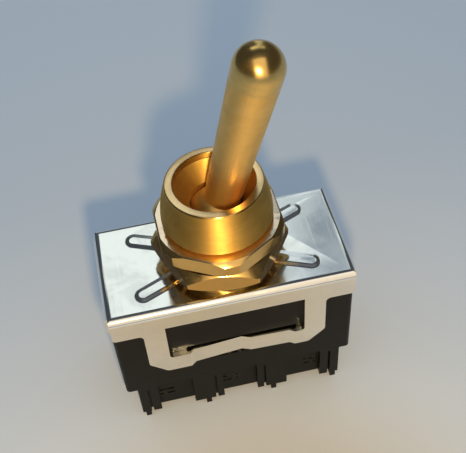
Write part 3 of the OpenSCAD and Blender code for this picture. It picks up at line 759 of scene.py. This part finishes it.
class SWITCH_OT_hexagon_nuts(bpy.types.Operator):
    """Lower and upper hexagon nuts with chamfered corners"""
    bl_idname = "switch.hexagon_nuts"
    bl_label = "Hexagon nuts"

    def execute(self, context):
        s = sizes()
        lower = hexagon_nut("hexagon_lower_nut", LOWER_LOW.z, LOWER_HIGH.z, s.lower_nut_flats,
                            s.lower_nut_turn, clear_bore(), face=7.95, reach=9.5,
                            foot_slope=1.2, top_slope=1.35)
        upper = hexagon_nut("hexagon_upper_nut", UPPER_LOW.z, UPPER_HIGH.z, s.upper_nut_flats,
                            s.upper_nut_turn, clear_bore(), face=8.2, reach=8.86,
                            foot_slope=0.45, top_slope=0.5)
        for obj, node in ((lower, "lower_nut"), (upper, "upper_nut")):
            finish_piece(obj, "body", finish("Nut brass"), "nut_brass", node)
        return {"FINISHED"}


class SWITCH_OT_dress_nut(bpy.types.Operator):
    """Round dress nut whose rim turns in over the bushing"""
    bl_idname = "switch.dress_nut"
    bl_label = "Dress nut"

    def execute(self, context):
        s = sizes()
        foot, rim = s.dress_foot_radius / MM, s.dress_rim_radius / MM
        bore, mouth = clear_bore(), s.dress_mouth_radius / MM
        height = (DRESS_HIGH.z - DRESS_LOW.z) / MM
        waist, shoulder = 0.45, height - 0.4
        taper = [step / 14 for step in range(15)]
        side = [(foot - (foot - rim) * share ** 1.8, waist + (shoulder - waist) * share)
                for share in taper]
        quarter = [math.radians(10 * step) for step in range(1, 10)]
        lip = [(rim - 0.26 * (1 - math.cos(a)), shoulder + 0.4 * math.sin(a)) for a in quarter]
        turn_in = [(mouth + 0.16 * (1 - math.sin(a)), height - 0.14 * (1 - math.cos(a)))
                   for a in quarter]
        foot_edge = [(bore, 0), (foot - 0.35, 0), (foot - 0.12, 0.08), (foot - 0.02, 0.24)]
        seat = [(mouth - 0.02, height - 0.88), (bore, height - 0.9)]
        outline = foot_edge + side + lip + turn_in + seat
        obj = turned_ring("round_dress_nut", outline, DRESS_LOW.z)
        smooth(obj, 42.0)
        finish_piece(obj, "body", finish("Gilt brass"), "gold_brass", "dress_nut")
        return {"FINISHED"}


class SWITCH_OT_bat_lever(bpy.types.Operator):
    """Bat lever with its ball and pin"""
    bl_idname = "switch.bat_lever"
    bl_label = "Bat lever"

    def execute(self, context):
        obj = merged_copy("lever", "bat_lever")
        smooth(obj, 40.0)
        finish_piece(obj, "lever", finish("Lever brass"), "lever_brass", "lever")
        repaint("lever_pin", finish("Screw steel"))
        return {"FINISHED"}


class SWITCH_OT_inner_works(bpy.types.Operator):
    """Plunger, spring, rocker, contacts, terminals and screws"""
    bl_idname = "switch.inner_works"
    bl_label = "Inner works"

    def execute(self, context):
        s = sizes()
        for names, material in (
                (("plunger", "left_rocker_contact", "right_rocker_contact", "left_fixed_contact",
                  "right_fixed_contact"), "Silver alloy"),
                (("contact_rocker", "common_terminal", "left_terminal", "right_terminal",
                  "fulcrum", "fulcrum_rivet"), "Strip brass")):
            for name in names:
                repaint(name, finish(material))
        for node in ("clamp_washers", "terminal_screws"):
            obj = merged_copy(node, node + "_finished")
            soften(obj, s.screw_edge)
            smooth(obj)
            finish_piece(obj, "body", finish("Screw steel"), "screw_steel", node)

        spring = merged_copy("plunger_spring", "coil_spring")
        smooth(spring, 60.0)
        finish_piece(spring, "lever", finish("Spring wire"), "spring_wire", "plunger_spring")
        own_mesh(spring)
        return {"FINISHED"}


# ---- Studio ----

def pale_floor():
    """Plain pale floor, with a painted pool of warm reflected light just in front of the switch"""
    pick(None)
    bpy.ops.mesh.primitive_plane_add(size=3.0, location=(0, 0, -0.02 * MM))
    floor = bpy.context.object
    floor.name = "floor"
    settle(floor)
    material, tree, shader, place = new_material("Pale floor")
    parts = add(tree, "ShaderNodeSeparateXYZ")
    tree.links.new(place, parts.inputs[0])
    tone = stops(tree, map_range(tree, parts.outputs[1], -0.045, 0.11, "LINEAR"),
                 (0.0, (0.56, 0.54, 0.51)), (0.30, (0.53, 0.53, 0.53)),
                 (0.55, (0.50, 0.51, 0.52)), (1.0, (0.56, 0.56, 0.56)))
    # Painted reflection: a warm pool of light, as the brass and steel would throw, on the floor
    # just in front.
    warm_reflection_place = add(tree, "ShaderNodeMapping", vector_type="TEXTURE",
                   in_Location=(-0.002, -0.030, 0.0), in_Scale=(0.042, 0.026, 1.0))
    tree.links.new(place, warm_reflection_place.inputs["Vector"])
    distance = add(tree, "ShaderNodeVectorMath", operation="LENGTH")
    tree.links.new(warm_reflection_place.outputs[0], distance.inputs[0])
    painted_warm_reflection = map_range(tree, distance.outputs["Value"], 1.0, 0.1)
    tone = blend_colours(tree, painted_warm_reflection, tone, (0.42, 0.36, 0.28))
    tree.links.new(tone, shader.inputs["Base Color"])
    shader.inputs["Roughness"].default_value = 0.8
    shader.inputs["Specular IOR Level"].default_value = 0.2
    floor.data.materials.append(material)


def key_light(scene):
    """Small warm lamp in front, which throws the shadow to the back"""
    lamp = bpy.data.lights.new("key_light", "AREA")
    lamp.shape = "DISK"
    lamp.size = 7 * MM
    lamp.energy = 0.115
    lamp.color = (1.0, 0.76, 0.40)
    key = bpy.data.objects.new("key_light", lamp)
    key.location = (-7.7 * MM, -82 * MM, 97 * MM)
    toward = (Vector(key.location) - Vector((0, 0, 30 * MM))).normalized()
    key.rotation_euler = toward.to_track_quat("Z", "Y").to_euler()
    scene.collection.objects.link(key)


def studio_world():
    """Plain pale sky for diffuse light, and for gloss a room with a warm window in front, a cold
    one at the back and a dim ceiling between them"""
    world = bpy.data.worlds.new("Studio")
    world.use_nodes = True
    tree = world.node_tree
    tree.nodes.clear()
    end = add(tree, "ShaderNodeOutputWorld")
    coords = add(tree, "ShaderNodeTexCoord")
    parts = add(tree, "ShaderNodeSeparateXYZ")
    tree.links.new(coords.outputs["Generated"], parts.inputs[0])
    x, y, z = parts.outputs

    # over is 0 at the front, 0.5 straight up and 1 at the back.
    reach = calc(tree, "SQRT", calc(tree, "ADD", calc(tree, "MULTIPLY", y, y),
                                    calc(tree, "MULTIPLY", z, z)))
    over = map_range(tree, calc(tree, "DIVIDE", y, reach), -1.0, 1.0, "LINEAR")
    arch = stops(tree, over,
                 (0.0, (0.88, 0.74, 0.56)), (0.30, (1.0, 0.91, 0.75)), (0.37, (1.0, 0.93, 0.80)),
                 (0.42, (0.10, 0.10, 0.105)), (0.52, (0.13, 0.135, 0.15)),
                 (0.60, (0.05, 0.055, 0.065)), (0.755, (0.05, 0.06, 0.075)),
                 (0.785, (0.90, 1.0, 1.0)), (0.862, (0.90, 1.0, 1.0)),
                 (0.885, (0.05, 0.06, 0.07)), (1.0, (0.10, 0.11, 0.13)))
    side = stops(tree, z, (0.0, (0.10, 0.09, 0.08)), (0.35, (0.05, 0.05, 0.05)),
                 (0.8, (0.06, 0.065, 0.07)), (1.0, (0.12, 0.13, 0.14)))
    wide = map_range(tree, calc(tree, "ABSOLUTE", x), 0.34, 0.52)
    room = blend_colours(tree, wide, arch, side)

    # The room's back is cloudy on the right and dark on the left.
    back = calc(tree, "GREATER_THAN", y, 0.0)
    veil = noise(tree, coords.outputs["Generated"], 11.0, 3.0, 0.5, 0.8)
    patchy = stops(tree, veil, (0.40, (0.16, 0.21, 0.27)), (0.56, (0.80, 0.92, 0.98)))
    right_side = calc(tree, "MULTIPLY", map_range(tree, x, 0.10, 0.16), back)
    right_side = calc(tree, "MULTIPLY", right_side, calc(tree, "LESS_THAN", x, 0.34))
    right_side = calc(tree, "MULTIPLY", right_side, calc(tree, "GREATER_THAN", over, 0.775))
    room = blend_colours(tree, right_side, room, patchy)
    left_side = calc(tree, "MULTIPLY", map_range(tree, x, -0.16, -0.24), back)
    room = blend_colours(tree, left_side, room, (0.05, 0.055, 0.065))

    path = add(tree, "ShaderNodeLightPath")
    seen = blend_colours(tree, path.outputs["Is Glossy Ray"], (0.46, 0.60, 0.76), room)
    sky = add(tree, "ShaderNodeBackground")
    tree.links.new(seen, sky.inputs["Color"])
    tree.links.new(sky.outputs[0], end.inputs["Surface"])
    return world


def camera(scene, azimuth, elevation, roll, across_aim, upward_aim, away, lens):
    """Camera at those angles in degrees, aimed beside the middle of the plate's top by two
    offsets in its own picture, and away from there. The lengths are in millimetres."""
    azimuth, elevation, roll = (math.radians(a) for a in (azimuth, elevation, roll))
    back = Vector((math.sin(azimuth) * math.cos(elevation),
                   -math.cos(azimuth) * math.cos(elevation), math.sin(elevation)))
    right = Vector((math.cos(azimuth), math.sin(azimuth), 0))
    up = back.cross(right)
    across = math.cos(roll) * right + math.sin(roll) * up
    upward = -math.sin(roll) * right + math.cos(roll) * up
    aim = Vector((0, 0, sizes().plate_level))
    aim += (across * across_aim + upward * upward_aim) * MM
    data = bpy.data.cameras.new("camera")
    data.lens = lens
    data.sensor_width = 36.0
    data.clip_start = 0.005
    obj = bpy.data.objects.new("camera", data)
    turn = Matrix((across, upward, back)).transposed().to_4x4()
    obj.matrix_world = Matrix.Translation(aim + back * away * MM) @ turn
    scene.collection.objects.link(obj)
    scene.camera = obj


class SWITCH_OT_studio(bpy.types.Operator):
    """Pale floor, soft lights and the camera"""
    bl_idname = "switch.studio"
    bl_label = "Studio"

    def execute(self, context):
        scene = context.scene
        scene.view_settings.view_transform = "Standard"
        pale_floor()
        key_light(scene)
        scene.world = studio_world()
        camera(scene, azimuth=-8.633, elevation=48.383, roll=-4.768, across_aim=1.643,
               upward_aim=3.35, away=116.717, lens=65.67)
        return {"FINISHED"}


# ---- Panel and registration ----

OPERATORS = (
    SWITCH_OT_plated_frame,
    SWITCH_OT_moulded_housing,
    SWITCH_OT_threaded_bushing,
    SWITCH_OT_hexagon_nuts,
    SWITCH_OT_dress_nut,
    SWITCH_OT_bat_lever,
    SWITCH_OT_inner_works,
    SWITCH_OT_studio,
)


class SWITCH_PT_sidebar(bpy.types.Panel):
    """Lists the pieces of the switch in the order that they are made"""
    bl_idname = "SWITCH_PT_sidebar"
    bl_label = "Toggle Switch"
    bl_space_type = "VIEW_3D"
    bl_region_type = "UI"
    bl_category = "Toggle Switch"

    def draw(self, context):
        for group in (context.scene.switch_sizes, context.scene.switch_colours):
            box = self.layout.box()
            for name in group.__annotations__:
                box.prop(group, name)
        for operator in OPERATORS:
            self.layout.operator(operator.bl_idname)


CLASSES = (SwitchSizes, SwitchColours, *OPERATORS, SWITCH_PT_sidebar)


def register():
    for cls in CLASSES:
        bpy.utils.register_class(cls)
    bpy.types.Scene.switch_sizes = PointerProperty(type=SwitchSizes)
    bpy.types.Scene.switch_colours = PointerProperty(type=SwitchColours)


def unregister():
    del bpy.types.Scene.switch_colours
    del bpy.types.Scene.switch_sizes
    for cls in reversed(CLASSES):
        bpy.utils.unregister_class(cls)


def main():
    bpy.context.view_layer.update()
    register()
    bpy.ops.switch.plated_frame()
    bpy.ops.switch.moulded_housing()
    bpy.ops.switch.threaded_bushing()
    bpy.ops.switch.hexagon_nuts()
    bpy.ops.switch.dress_nut()
    bpy.ops.switch.bat_lever()
    bpy.ops.switch.inner_works()
    bpy.ops.switch.studio()


if __name__ == "__main__":
    main()
